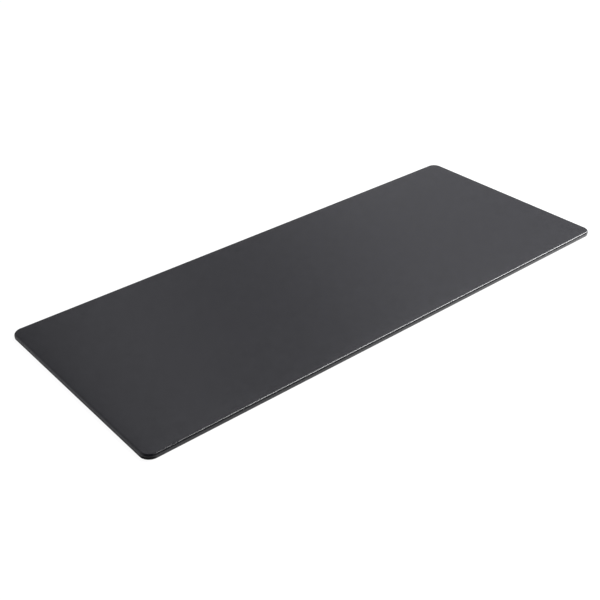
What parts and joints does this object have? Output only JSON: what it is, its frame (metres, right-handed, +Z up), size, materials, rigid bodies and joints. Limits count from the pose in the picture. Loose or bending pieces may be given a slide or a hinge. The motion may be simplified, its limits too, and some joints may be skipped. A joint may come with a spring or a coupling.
{
  "type": "desk mat",
  "caption": "Long, thin padded desk mat with rounded corners, wrapped in dark leatherette with a rolled edge and a flat non-slip underside.",
  "frame": {"origin": "middle of the underside, on the desk", "axes": "+X along the mat's length, +Y from the user's long edge to the far long edge, +Z up out of the writing surface"},
  "size_m": [0.85, 0.35, 0.008],
  "materials": {
    "leatherette": "satin black leatherette with a fine pebbled grain",
    "foam": "soft closed-cell foam, matte",
    "fibreboard": "plain fibreboard, smooth and uncoated",
    "card": "plain grey card",
    "backing": "short-napped black non-slip microfibre, matte"
  },
  "bodies": {
    "root": {"leatherette_cover": "leatherette", "foam_pad": "foam", "core_board": "fibreboard", "infill_card": "card", "nonslip_backing": "backing"}
  },
  "joints": []
}
